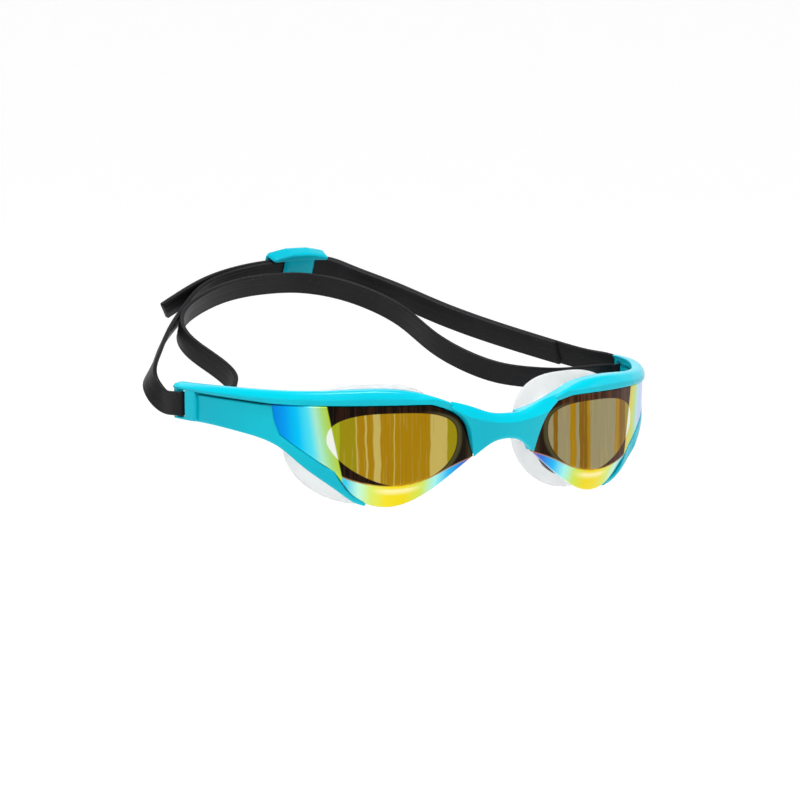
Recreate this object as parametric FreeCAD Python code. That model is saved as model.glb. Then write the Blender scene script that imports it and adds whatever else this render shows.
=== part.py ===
import FreeCAD, Part
import math
import os

# Swim goggles, in millimetres.
# X runs along the brow (+X is the wearer's left), Y goes back towards the face, Z is up.
# The origin is midway between the eyes on the plane where the two seals meet the face.

Vector = FreeCAD.Vector

# --- the front line of the goggles in plan, from the nose to the temple, on the +X side ---
nose_gap = 19.6            # between the two lenses at the nose
nose_set = 25.2            # how far the lens' inner corner is in front of the face plane
front_length = 48.0        # lens front, along its curve
side_length = 16.3         # lens side facet
arm_length = 41.5          # temple arm behind the lens
nose_angle = -2.0          # heading of the line at the nose, 0 is along X
front_end_angle = 36.0     # at the crease, on its front side
side_start_angle = 42.0    # at the crease, on its side facet
side_end_angle = 47.0
temple_angle = 80.0

# --- heights ---
brow_line = 14.0           # top edge of the lens above the origin
lens_height = 32.0         # from the brow line down to the lowest point of the lens
brow_height = 4.6          # thickness of the brow over the lens

# --- walls and depths, measured inwards from the front line ---
lens_wall = 1.8
lens_depth = 4.4           # rim of the lens behind its front
lens_rim = 1.5
bevel_slope = 2.3          # drop of the lower bevel for each millimetre of depth
frame_proud = 1.4          # brow in front of the lens
arm_wall = 2.6
cup_flange = 2.0
cup_wall = 1.5
bond_gap = 0.1             # glue line between two pieces of one half

# --- nose bridge ---
bridge_wing = 19.2         # reach of each wing from the middle
bridge_front = 30.3        # middle of the bridge in front of the face plane
bridge_rear = 25.75
bridge_peg_radius = 1.4
bridge_peg_length = 3.2
peg_gap = 0.1

# --- seals ---
seal_tilt = 14.0           # the lip leans back towards the temple
seal_half_width = 25.3
seal_half_height = 19.0
seal_wall = 1.1

# --- strap, temple slots and buckle ---
strap_width = 7.6
strap_thickness = 1.4
strap_drop = 2.5           # middle of the strap below the brow line, at the temples
strap_tilt = 23.5          # the strap loop climbs backwards from the temples
strap_reach = 84.5         # from the temple slots to the buckle, along the loop
bend_shift = 4.0           # centre of the rear bend, off the middle to the wearer's left
layer_gap = 0.1            # between the two layers of strap inside the buckle
slot_width = 3.6
slot_gap = 0.3             # above and below the strap in its slot
end_bar = 2.8              # bar behind the slot, which the strap goes round
strap_gap = 0.75           # between the strap and each face of the arm
temple_run = 7.0           # straight run of the strap past each arm
buckle_width = 24.0
buckle_rail = 1.7
buckle_wall = 1.2
buckle_gap = 0.25
buckle_plate_width = 10.4


# ------------------------------------------------------------------ the line in plan

crease = front_length
side_end = front_length + side_length
temple_end = side_end + arm_length
stretches = [
    (0.0, crease, nose_angle, front_end_angle),
    (crease, side_end, side_start_angle, side_end_angle),
    (side_end, temple_end, side_end_angle, temple_angle),
]
plan_height = 90.0


def stretch_end(start, length, angle_from, angle_to, along):
    """Where an arc that turns evenly from one heading to the other has got to."""
    turn = math.radians(angle_to - angle_from) / length
    first = math.radians(angle_from)
    heading = first + turn * along
    x = start.x + (math.sin(heading) - math.sin(first)) / turn
    y = start.y + (math.cos(first) - math.cos(heading)) / turn
    return Vector(x, y, 0), heading


def plan_state(along):
    point = Vector(nose_gap / 2, -nose_set, 0)
    for low, high, angle_from, angle_to in stretches:
        last = high == temple_end
        if along <= high or last:
            return stretch_end(point, high - low, angle_from, angle_to, along - low)
        point, heading = stretch_end(point, high - low, angle_from, angle_to, high - low)


def plan_point(along, inset=0.0, height=0.0):
    """A point of the line, moved inwards (towards the head) by inset."""
    point, heading = plan_state(along)
    reach = inset
    if abs(along - crease) < 1e-9:
        half_kink = math.radians(side_start_angle - front_end_angle) / 2
        heading = heading + half_kink
        reach = inset / math.cos(half_kink)
    return Vector(point.x - reach * math.sin(heading), point.y + reach * math.cos(heading), height)


def plan_curve(inset, begin, end):
    """Arcs that follow the line at one inset."""
    stops = [begin] + [s for s in (crease, side_end) if begin < s < end] + [end]
    edges = []
    for low, high in zip(stops, stops[1:]):
        middle = plan_point((low + high) / 2, inset, -plan_height / 2)
        first = plan_point(low, inset, -plan_height / 2)
        final = plan_point(high, inset, -plan_height / 2)
        edges.append(Part.Arc(first, middle, final).toShape())
    return edges


def plan_band(front, rear, begin, end):
    """Everything between two insets, as a tall wall."""
    near = plan_curve(front, begin, end)
    far = plan_curve(rear, begin, end)
    low = -plan_height / 2
    sides = [
        Part.makeLine(plan_point(begin, front, low), plan_point(begin, rear, low)),
        Part.makeLine(plan_point(end, front, low), plan_point(end, rear, low)),
    ]
    wire = Part.Wire(Part.__sortEdges__(near + far + sides))
    return Part.Face(wire).extrude(Vector(0, 0, plan_height))


# ------------------------------------------------------------------ outlines seen from the front

def station(share, drop):
    """Shares 0-1 are the lens front, 1-2 the side facet, 2-3 the arm. Drop 0 is the brow, 1 the foot."""
    whole = min(max(math.floor(share), 0), 2)
    low, high = stretches[whole][0], stretches[whole][1]
    along = low + (share - whole) * (high - low)
    point = plan_point(along)
    return Vector(point.x, 0, brow_line - drop * lens_height)


def smooth(points):
    if len(points) == 2:
        return Part.makeLine(points[0], points[1])
    curve = Part.BSplineCurve()
    curve.interpolate(points)
    return curve.toShape()


def outline_face(chains):
    """A face in the XZ plane from chains of points that follow one another."""
    return Part.Face(Part.Wire([smooth(chain) for chain in chains]))


def forward_prism(face, front=-60.0, back=60.0):
    moved = face.translated(Vector(0, front, 0))
    return moved.extrude(Vector(0, back - front, 0))


lens_top = [station(0.335, 0.0), station(2.03, 0.0)]
lens_outer = [station(2.03, 0.0), station(2.02, 0.13), station(1.93, 0.29)]
lens_branch = [station(1.93, 0.29), station(1.476, 0.444), station(0.955, 0.64)]
lens_corner = [station(0.955, 0.64), station(0.835, 0.905)]
lens_foot = [station(0.835, 0.905), station(0.72, 0.975), station(0.60, 1.0), station(0.475, 0.965),
             station(0.365, 0.89), station(0.252, 0.787), station(0.131, 0.656), station(0.02, 0.53)]
lens_nose = [station(0.02, 0.53), station(0.054, 0.356), station(0.085, 0.205), station(0.198, 0.069),
             station(0.335, 0.0)]
bevel_edge = [(-0.15, 0.46), (0.02, 0.53), (0.16, 0.60), (0.34, 0.715), (0.50, 0.77), (0.65, 0.772),
              (0.80, 0.735), (0.955, 0.64), (1.2, 0.50)]


def lens_outline():
    return outline_face([lens_top, lens_outer, lens_branch, lens_corner, lens_foot, lens_nose])


def grown(face, amount):
    """The face with its outline moved outwards by amount, redrawn with plain curves."""
    moved = face.makeOffset2D(amount)
    edges = [smooth(edge.discretize(9)) for edge in moved.OuterWire.OrderedEdges]
    return Part.Face(Part.Wire(Part.__sortEdges__(edges)))


def bevel_space(raised):
    """Everything above the slanted lower facet, raised by a wall measured square to the facet."""
    lift = raised * math.sqrt(1 + bevel_slope ** 2)
    front = -60.0
    foot = []
    for share, drop in bevel_edge:
        point = station(share, drop)
        depth = plan_point(max(share, 0.0) * front_length).y
        foot.append(Vector(point.x, front, point.z + bevel_slope * (depth - front) + lift))
    first, final = foot[0], foot[-1]
    top = plan_height * 3
    edges = [
        smooth(foot),
        Part.makeLine(final, Vector(final.x, front, top)),
        Part.makeLine(Vector(final.x, front, top), Vector(first.x, front, top)),
        Part.makeLine(Vector(first.x, front, top), first),
    ]
    face = Part.Face(Part.Wire(edges))
    length = 120.0
    return face.extrude(Vector(0, length, -bevel_slope * length))


# ------------------------------------------------------------------ pieces of one half

def make_lens():
    outline = lens_outline()
    front = plan_band(0, lens_depth, 0, crease).common(forward_prism(outline))
    front = front.common(bevel_space(0))
    hollow_outline = grown(outline, -lens_rim)
    hollow = plan_band(lens_wall, lens_depth + 3, -5, crease + 6).common(forward_prism(hollow_outline))
    hollow = hollow.common(bevel_space(lens_wall))
    front = front.cut(hollow)
    side = plan_band(0, lens_wall, crease, temple_end).common(forward_prism(outline))
    return front.fuse(side).removeSplitter()


def frame_outline():
    top = [station(3.0, -0.105), station(2.5, -0.12), station(2.0, -0.127), station(1.3, -0.13),
           station(0.8, -brow_height / lens_height), station(0.5, -brow_height / lens_height),
           station(0.23, -0.034), station(0.04, 0.078), station(-0.09, 0.12)]
    nose_end = [station(-0.09, 0.12), station(-0.09, 0.37)]
    nose_foot = [station(-0.09, 0.37), station(-0.03, 0.44), station(0.02, 0.53)]
    across = [station(0.02, 0.53), station(0.835, 0.905)]
    branch_tip = [station(0.835, 0.905), station(0.83, 0.93)]
    foot = [station(0.83, 0.93), station(0.894, 0.878), station(1.256, 0.675), station(1.554, 0.562),
            station(1.917, 0.425), station(2.14, 0.34), station(2.32, 0.297), station(2.6, 0.252),
            station(3.0, 0.231)]
    temple = [station(3.0, 0.231), station(3.0, -0.105)]
    return outline_face([top, nose_end, nose_foot, across, branch_tip, foot, temple])


slot_place = temple_end - end_bar - slot_width / 2


def temple_slot():
    """The cut through the arm that the strap goes through."""
    low = brow_line - strap_drop - strap_width / 2 - slot_gap
    band = plan_band(-10, 10, slot_place - slot_width / 2, slot_place + slot_width / 2)
    room = Part.makeBox(400, 400, strap_width + 2 * slot_gap, Vector(-200, -200, low))
    return band.common(room)


def panel_recess():
    """The side panel lies level with the lens, below the brow and in front of the slot."""
    edge = [station(0.8, -0.02), station(2.03, -0.01), station(2.4, -0.04), station(2.86, -0.06)]
    post = [station(2.86, -0.06), station(2.80, 0.50)]
    foot = [station(2.80, 0.50), station(0.8, 1.3)]
    back = [station(0.8, 1.3), station(0.8, -0.02)]
    face = outline_face([edge, post, foot, back])
    return plan_band(-10, -0.15, 0, temple_end).common(forward_prism(face))


def end_relief():
    """Behind the post the arm is level with the panel, so that the strap swings freely."""
    return plan_band(-10, 0, slot_place - slot_width / 2, temple_end + 5)


def bridge_seat():
    """Space that the nose bridge takes up in front of a frame."""
    width = 2 * (bridge_wing + bond_gap)
    return Part.makeBox(width, 60, 200, Vector(-width / 2, -60 - bridge_rear + bond_gap, -100))


def peg_place():
    return Vector(nose_gap / 2 - 2.0, 0, brow_line - 0.3 * lens_height)


def peg(radius, length):
    place = peg_place()
    start = Vector(place.x, -bridge_rear - 0.5, place.z)
    return Part.makeCylinder(radius, length + 0.5, start, Vector(0, 1, 0))


def make_frame():
    outline = forward_prism(frame_outline())
    front = plan_band(-frame_proud, lens_depth, -8, crease)
    rear = plan_band(-frame_proud, arm_wall, crease, temple_end)
    body = front.common(outline).fuse(rear.common(outline))
    body = body.cut(forward_prism(grown(lens_outline(), bond_gap)))
    for tool in (panel_recess(), end_relief(), temple_slot(), bridge_seat(),
                 peg(bridge_peg_radius + peg_gap, bridge_peg_length + 0.4)):
        body = body.cut(tool)
    return body.removeSplitter()


def oval(centre, half_width, half_height, angle, power, count=24):
    """A rounded outline in a plane that is turned about Z by angle."""
    across = Vector(math.cos(math.radians(angle)), math.sin(math.radians(angle)), 0)
    points = []
    for step in range(count):
        turn = 2 * math.pi * step / count
        side = math.copysign(abs(math.cos(turn)) ** (2 / power), math.cos(turn))
        rise = math.copysign(abs(math.sin(turn)) ** (2 / power), math.sin(turn))
        points.append(centre + across * (half_width * side) + Vector(0, 0, half_height * rise))
    curve = Part.BSplineCurve()
    curve.interpolate(points, PeriodicFlag=True)
    return Part.Wire([curve.toShape()])


def eye_outline(shrink):
    """The leaf-shaped eye opening, made smaller all round by shrink; it clears the lower facet."""
    middle = station(0.53, 0.425)
    wide = front_length * 0.40 - shrink
    tall = lens_height * 0.285 - shrink
    return Part.Face(oval(middle, wide, tall, 0, 2.3))


def make_eyecup():
    plug = plan_band(lens_wall + bond_gap, lens_depth + 0.5, 0, crease)
    plug = plug.common(forward_prism(eye_outline(0)))
    middle = station(0.55, 0.45)
    flange_face = Part.Face(oval(middle, front_length * 0.46, seal_half_height - 3.0, 0, 2.4))
    flange = plan_band(lens_depth + bond_gap, lens_depth + bond_gap + cup_flange, 0, crease + 3)
    flange = flange.common(forward_prism(flange_face))
    cup = plug.fuse(flange)
    return cup.cut(forward_prism(eye_outline(cup_wall))).removeSplitter()


def seal_skin(inset):
    """A flared sleeve from the eyecup to the face; inset makes it smaller for the inside."""
    front_middle = plan_point(0.53 * front_length, 2.0)
    front_middle.z = brow_line - 0.45 * lens_height
    front = oval(front_middle, front_length * 0.44 - inset, seal_half_height - 4.4 - inset,
                 seal_tilt + 10, 2.4)
    lip_middle = Vector(nose_gap / 2 + 2.6 + seal_half_width, -1.5, brow_line - 0.4375 * lens_height)
    across = Vector(math.cos(math.radians(seal_tilt)), math.sin(math.radians(seal_tilt)), 0)
    back = Vector(-across.y, across.x, 0)
    waist = oval(lip_middle - back * 4.5, seal_half_width - 1.6 - inset,
                 seal_half_height - 1.5 - inset, seal_tilt, 2.3)
    lip = oval(lip_middle, seal_half_width - inset, seal_half_height - inset, seal_tilt, 2.3)
    loft = Part.makeLoft([front, waist, lip], True, False)
    if inset == 0:
        return loft
    past = oval(lip_middle + back * 1.0, seal_half_width - inset, seal_half_height - inset, seal_tilt, 2.3)
    return loft.fuse(Part.makeLoft([lip, past], True, True))


def make_seal():
    skin = seal_skin(0).cut(seal_skin(seal_wall))
    ahead = plan_band(-20, lens_depth + bond_gap + cup_flange + bond_gap, -20, temple_end)
    return skin.cut(ahead)


# ------------------------------------------------------------------ nose bridge

def make_bridge():
    reach = bridge_wing
    half_gap = nose_gap / 2
    right_top = [Vector(0, 0, 10.1), Vector(6.0, 0, 10.7), Vector(half_gap + 3.0, 0, brow_line - 1.0),
                 Vector(reach, 0, brow_line + 1.0)]
    wing_end = [Vector(reach, 0, brow_line + 1.0), Vector(reach, 0, brow_line - 1.6)]
    lens_side = [Vector(reach, 0, brow_line - 1.6), station(0.085, 0.19) + Vector(0.2, 0, 0),
                 station(0.054, 0.356), station(0.02, 0.53) + Vector(0, 0, 0.3)]
    foot = [station(0.02, 0.53) + Vector(0, 0, 0.3), Vector(half_gap - 2.4, 0, -0.3),
            Vector(4.0, 0, 1.6), Vector(0, 0, 2.2)]
    middle = [Vector(0, 0, 2.2), Vector(0, 0, 10.1)]
    half = forward_prism(outline_face([right_top, wing_end, lens_side, foot, middle]))
    outline = half.fuse(half.mirror(Vector(0, 0, 0), Vector(1, 0, 0)))
    front = Part.Arc(Vector(-reach - 1, -bridge_rear - 1.25, -50), Vector(0, -bridge_front, -50),
                     Vector(reach + 1, -bridge_rear - 1.25, -50)).toShape()
    ends = [Vector(reach + 1, -bridge_rear - 1.25, -50), Vector(reach + 1, -bridge_rear, -50),
            Vector(-reach - 1, -bridge_rear, -50), Vector(-reach - 1, -bridge_rear - 1.25, -50)]
    wire = Part.Wire([front] + [Part.makeLine(a, b) for a, b in zip(ends, ends[1:])])
    body = Part.Face(wire).extrude(Vector(0, 0, 100)).common(outline)
    pin = peg(bridge_peg_radius, bridge_peg_length)
    body = body.fuse(pin).fuse(pin.mirror(Vector(0, 0, 0), Vector(1, 0, 0)))
    return body.removeSplitter()


# ------------------------------------------------------------------ strap

def ribbon_edges(corners, radii, offset):
    """Straight runs joined by tangent arcs, moved sideways to the left of the path by offset."""
    edges = []
    here = None
    count = len(corners)
    for index in range(count - 1):
        run = (corners[index + 1] - corners[index]).normalize()
        left = Vector(-run.y, run.x, 0)
        if here is None:
            here = corners[index] + left * offset
        if index == count - 2:
            edges.append(Part.makeLine(here, corners[-1] + left * offset))
            return edges
        after = (corners[index + 2] - corners[index + 1]).normalize()
        turn = math.atan2(run.x * after.y - run.y * after.x, run.dot(after))
        radius = radii[index + 1]
        reach = radius * math.tan(abs(turn) / 2)
        side = math.copysign(1.0, turn)
        centre = corners[index + 1] - run * reach + left * (radius * side)
        out = radius - side * offset
        first = centre - left * (out * side)
        after_left = Vector(-after.y, after.x, 0)
        final = centre - after_left * (out * side)
        halfway = (left + after_left).normalize()
        edges.append(Part.makeLine(here, first))
        edges.append(Part.Arc(first, centre - halfway * (out * side), final).toShape())
        here = final


def half_turn(corners, index):
    before = (corners[index] - corners[index - 1]).normalize()
    after = (corners[index + 1] - corners[index]).normalize()
    return math.acos(max(-1.0, min(1.0, before.dot(after)))) / 2


def corner_radii(corners, fixed):
    """Each bend is as round as its two runs allow, unless its radius is given."""
    radii = [0.0] * len(corners)
    taken = [0.0] * len(corners)
    for index, radius in fixed.items():
        radii[index] = radius
        taken[index] = radius * math.tan(half_turn(corners, index))
    for index in range(1, len(corners) - 1):
        if index in fixed:
            continue
        before = (corners[index] - corners[index - 1]).Length - taken[index - 1]
        after = (corners[index + 1] - corners[index]).Length - taken[index + 1]
        radii[index] = 0.45 * min(before, after) / math.tan(half_turn(corners, index))
    return radii


def ribbon(corners, fixed, shift=0.0):
    """A strap that stands on its edge along a flat path, moved to the left of the path by shift."""
    radii = corner_radii(corners, fixed)
    left = ribbon_edges(corners, radii, shift + strap_thickness / 2)
    right = ribbon_edges(corners, radii, shift - strap_thickness / 2)
    first = Part.makeLine(left[0].firstVertex().Point, right[0].firstVertex().Point)
    final = Part.makeLine(left[-1].lastVertex().Point, right[-1].lastVertex().Point)
    wire = Part.Wire(Part.__sortEdges__(left + right + [first, final]))
    band = Part.Face(wire).extrude(Vector(0, 0, strap_width))
    return band.translated(Vector(0, 0, -strap_width / 2))


temple_height = brow_line - strap_drop
outside = -(strap_gap + strap_thickness / 2)
slot_middle = plan_point(slot_place, arm_wall / 2)
outer_x = plan_point(slot_place, outside).x
run_place = plan_point(temple_end + temple_run, outside)


def tilted(shape):
    """From the flat loop, whose X axis joins the temple slots, to its place on the goggles."""
    turned = shape.rotated(Vector(0, 0, 0), Vector(1, 0, 0), strap_tilt)
    return turned.translated(Vector(0, slot_middle.y, temple_height))


# Past each arm the strap keeps to the arm's line before it turns into the rear bend,
# which is a circle through the buckle and through the end of that run at the -X temple.
run_behind = (run_place.y - slot_middle.y) / math.cos(math.radians(strap_tilt))
layer_shift = (strap_thickness + layer_gap) / 2
run_start = Vector(-run_place.x - layer_shift, run_behind, 0)
bend_drop = (bend_shift ** 2 + strap_reach ** 2 - (run_start.x - bend_shift) ** 2 - run_start.y ** 2)
bend_centre = Vector(bend_shift, bend_drop / (2 * (strap_reach - run_start.y)), 0)
bend_radius = math.hypot(bend_shift, strap_reach - bend_centre.y)
buckle_turn = math.asin(bend_shift / bend_radius)


def on_bend(turn, radius):
    """A point of the bend; turn is measured from straight back towards -X."""
    return bend_centre + Vector(-radius * math.sin(turn), radius * math.cos(turn), 0)


def bend_corner(begin, end):
    """Where the two tangents at the ends of an arc of the bend meet."""
    return on_bend((begin + end) / 2, bend_radius / math.cos((begin - end) / 2))


def loop_point(across, behind):
    """Shares of the half width at the temples and of the reach to the buckle."""
    return Vector(across * outer_x, behind * strap_reach, 0)


def make_strap():
    start_turn = math.atan2(bend_centre.x - run_start.x, run_start.y - bend_centre.y)
    end_turn = buckle_turn - (buckle_width / 2 + 1.5) / bend_radius
    tail_turn = math.radians(40.0)
    away = Vector(math.cos(end_turn), math.sin(end_turn), 0)
    down = [on_bend(end_turn, bend_radius) + away * 5.5, loop_point(0.60, 0.51)]
    spare = 12.0

    # The run from the -X temple passes through the buckle as the inner layer and ends as a tail.
    first = Vector(-outer_x - layer_shift, 0, 0)
    begin = on_bend(start_turn, bend_radius) - Vector(math.cos(start_turn), math.sin(start_turn), 0) * 1.0
    inner = [first, begin, bend_corner(start_turn, end_turn)] + down + [loop_point(0.815, 0.215)]
    inner_layer = ribbon(inner, {2: bend_radius}, -layer_shift)

    # The run from the +X temple is the outer layer and ends as the tail on the -X side.
    tail_end = on_bend(tail_turn, bend_radius) - Vector(math.cos(tail_turn), math.sin(tail_turn), 0) * spare
    outer = [tail_end, bend_corner(tail_turn, end_turn)] + down
    outer += [Vector(run_place.x - layer_shift, run_behind, 0), Vector(outer_x - layer_shift, 0, 0)]
    outer_layer = ribbon(outer, {1: bend_radius}, layer_shift)

    # The lower band joins the two slots behind the head; it is slack, so it wanders.
    ends = outer_x - arm_wall - strap_thickness - 2 * strap_gap
    slack = [(-0.83, 0.015), (-0.745, 0.10), (-0.79, 0.29), (-0.785, 0.46), (-0.715, 0.605),
             (-0.635, 0.68), (-0.54, 0.74), (-0.32, 0.85), (-0.08, 0.90), (0.105, 0.835), (0.25, 0.70),
             (0.30, 0.495), (0.35, 0.27), (0.42, 0.12), (0.56, 0.035), (0.76, 0.025)]
    loop = [Vector(-ends, 0.5, 0)] + [loop_point(*pair) for pair in slack] + [Vector(ends, 0.5, 0)]
    lower_band = ribbon(loop, {})

    body = tilted(inner_layer.fuse([outer_layer, lower_band]))
    turn_corners = [plan_point(slot_place, 9.0), plan_point(slot_place, outside),
                    plan_point(temple_end + temple_run / 2, outside)]
    wrap = ribbon(turn_corners, {1: 1.5}).translated(Vector(0, 0, temple_height))
    return body.fuse([wrap, wrap.mirror(Vector(0, 0, 0), Vector(1, 0, 0))]).removeSplitter()


# ------------------------------------------------------------------ buckle

def arc_block(inner, outer, half_width, half_height):
    """A block bent round the bend's centre at the buckle, half_width long each way."""
    half = half_width / bend_radius
    low = Vector(0, 0, -half_height)

    def at(radius, turn):
        return on_bend(buckle_turn + turn, radius) + low

    edges = [
        Part.Arc(at(inner, -half), at(inner, 0), at(inner, half)).toShape(),
        Part.makeLine(at(inner, half), at(outer, half)),
        Part.Arc(at(outer, half), at(outer, 0), at(outer, -half)).toShape(),
        Part.makeLine(at(outer, -half), at(inner, -half)),
    ]
    return Part.Face(Part.Wire(edges)).extrude(Vector(0, 0, 2 * half_height))


def make_buckle():
    room = strap_thickness + layer_gap / 2 + buckle_gap
    half_height = strap_width / 2 + buckle_gap
    inner = bend_radius - room - buckle_wall
    outer = bend_radius + room + buckle_wall
    body = arc_block(inner, outer, buckle_width / 2, half_height + buckle_rail)
    body = body.cut(arc_block(bend_radius - room, bend_radius + room, buckle_width, half_height))
    window = buckle_width / 2 - 2.4
    body = body.cut(arc_block(bend_radius, outer + 5, window, half_height))
    plate = arc_block(inner - 6, bend_radius + 1, buckle_plate_width / 2, half_height + buckle_rail)
    body = body.cut(arc_block(inner - 5, bend_radius, window, half_height).cut(plate))
    edges = [edge for edge in body.Edges if edge.Length > buckle_width * 0.9]
    return tilted(body.makeFillet(buckle_wall * 0.35, edges))


# ------------------------------------------------------------------ writing the pieces

def write(shape, name):
    solids = shape.Solids
    if len(solids) != 1:
        print("check", name, "has", len(solids), "solids", [round(s.Volume, 2) for s in solids])
    final = max(solids, key=lambda s: s.Volume)
    print(name, "volume", round(final.Volume, 1), "valid", final.isValid())
    final.exportStep("parts/%s.step" % name)


os.makedirs("parts", exist_ok=True)
halves = {"lens": make_lens(), "frame": make_frame(), "eyecup": make_eyecup(), "seal": make_seal()}
for kind, shape in halves.items():
    write(shape, "left_" + kind)
    write(shape.mirror(Vector(0, 0, 0), Vector(1, 0, 0)), "right_" + kind)
write(make_bridge(), "nose_bridge")
write(make_strap(), "strap")
write(make_buckle(), "buckle")
axle = [0, round(slot_middle.y, 3), round(temple_height, 3)]
centre = tilted(Part.Vertex(bend_centre)).Point
print("strap turns about", axle, "and the buckle about", [round(c, 3) for c in centre])
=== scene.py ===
import math
import bpy
import numpy as np
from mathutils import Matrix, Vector


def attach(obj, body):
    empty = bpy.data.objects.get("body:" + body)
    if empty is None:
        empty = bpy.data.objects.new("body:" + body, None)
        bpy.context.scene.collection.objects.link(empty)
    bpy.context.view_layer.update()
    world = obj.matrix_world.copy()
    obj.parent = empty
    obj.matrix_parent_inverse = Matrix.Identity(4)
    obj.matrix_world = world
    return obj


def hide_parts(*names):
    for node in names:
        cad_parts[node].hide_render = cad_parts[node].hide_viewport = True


# Swim goggles, laid out as they are worn: +X to the wearer's left, +Y back into the head, +Z up.
# Shapes are worked out in millimetres and go into their meshes in metres.

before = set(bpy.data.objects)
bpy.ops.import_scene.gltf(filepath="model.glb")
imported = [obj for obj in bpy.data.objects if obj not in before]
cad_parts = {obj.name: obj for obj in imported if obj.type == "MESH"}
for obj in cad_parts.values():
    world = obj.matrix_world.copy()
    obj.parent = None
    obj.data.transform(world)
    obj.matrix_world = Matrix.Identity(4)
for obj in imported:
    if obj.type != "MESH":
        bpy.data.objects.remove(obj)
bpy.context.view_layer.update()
print("frame loaded")

goggles = {
    "noseGap": 19.6,             # between the two lenses
    "noseSet": 25.2,             # lens corner in front of the face
    "crease": 48.0,              # length of the lens front along its curve
    "sideEnd": 64.3,
    "templeEnd": 107.0,
    "headings": [(-14, -13.1), (0, -2), (47.5, 31.5), (48.5, 36), (57, 42), (64.3, 55), (86, 65),
                 (107, 82), (123, 94)],      # (place along the line, its heading in degrees)
    "planStart": -14.0,
    "planFinish": 122.0,
    "creaseSlant": 4.2,          # how far the crease leans to the nose at its foot
    "creaseFall": 20.0,          # over this height
    "creaseShift": (-0.066, 0.081),      # the side facet's turn carried to the leaning crease
    "browLine": 14.0,
    "lensHeight": 32.0,
    "bevelSlope": 2.3,
    "slotPlace": 102.4,
    "slotHeight": 11.5,
}


def buildPlan():
    # the goggles' line in plan: its heading is summed along its length
    along = np.linspace(goggles["planStart"], goggles["planFinish"], 6801)
    stops = np.array(goggles["headings"])
    heading = np.radians(np.interp(along, stops[:, 0], stops[:, 1]))
    step = along[1] - along[0]
    middle = (heading[1:] + heading[:-1]) / 2
    x = np.concatenate([[0], np.cumsum(np.cos(middle) * step)])
    y = np.concatenate([[0], np.cumsum(np.sin(middle) * step)])
    x += goggles["noseGap"] / 2 - np.interp(0, along, x)
    y += -goggles["noseSet"] - np.interp(0, along, y)
    return along, heading, x, y


planAlong, planHeading, planX, planY = buildPlan()


def creasePlace(z):
    # the crease leans towards the nose as it goes down
    lean = np.clip((goggles["browLine"] - z) / goggles["creaseFall"], 0, 1.1)
    return goggles["crease"] - goggles["creaseSlant"] * lean


def onPlan(along, inset, z):
    # a point of the plan line, moved square to it towards the head by inset, at height z
    heading = np.interp(along, planAlong, planHeading)
    x = np.interp(along, planAlong, planX) - inset * np.sin(heading)
    y = np.interp(along, planAlong, planY) + inset * np.cos(heading)
    early = np.clip(np.minimum(along, goggles["crease"]) - creasePlace(z), 0, None)
    shiftX, shiftY = goggles["creaseShift"]
    return np.stack([x + shiftX * early, y + shiftY * early, z + 0 * x], -1)


def station(share, drop):
    # share 0-1 is the lens front, 1-2 the side facet, 2-3 the arm; drop 0 is the brow, 1 the lens' foot
    places = [-goggles["crease"], 0, goggles["crease"], goggles["sideEnd"], goggles["templeEnd"]]
    along = np.interp(share, [-1, 0, 1, 2, 3], places)
    return along, goggles["browLine"] - drop * goggles["lensHeight"]


def stations(pairs):
    return np.array([station(*pair) for pair in pairs])


def spline(points, count):
    # a natural cubic through the points, with the chords' lengths as its parameter, read at even steps
    points = np.array(points, float)
    chord = np.linalg.norm(np.diff(points, axis=0), axis=1)
    knots = np.concatenate([[0], np.cumsum(chord)])
    number = len(points)
    bend = np.eye(number)
    slopes = np.zeros_like(points)
    rise = np.diff(points, axis=0) / chord[:, None]
    inner = np.arange(1, number - 1)
    bend[inner, inner - 1] = chord[:-1]
    bend[inner, inner] = 2 * (chord[:-1] + chord[1:])
    bend[inner, inner + 1] = chord[1:]
    slopes[inner] = 6 * (rise[1:] - rise[:-1])
    second = np.linalg.solve(bend, slopes)
    at = np.linspace(0, knots[-1], count)
    piece = np.clip(np.searchsorted(knots, at, side="right") - 1, 0, number - 2)
    h = chord[piece][:, None]
    left = (knots[piece + 1] - at)[:, None]
    right = (at - knots[piece])[:, None]
    return (second[piece] * left ** 3 + second[piece + 1] * right ** 3) / (6 * h) \
        + (points[piece] / h - second[piece] * h / 6) * left \
        + (points[piece + 1] / h - second[piece + 1] * h / 6) * right


def polyline(points, count):
    # straight runs between the points, read at even steps
    points = np.array(points, float)
    length = np.concatenate([[0], np.cumsum(np.linalg.norm(np.diff(points, axis=0), axis=1))])
    at = np.linspace(0, length[-1], count)
    return np.stack([np.interp(at, length, points[:, i]) for i in range(points.shape[1])], -1)


def chain(segments, count):
    # smooth stretches joined at corners, read at even steps
    pieces = [spline(segment, 60) if len(segment) > 2 else polyline(segment, 20) for segment in segments]
    return polyline(np.concatenate(pieces), count)


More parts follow.
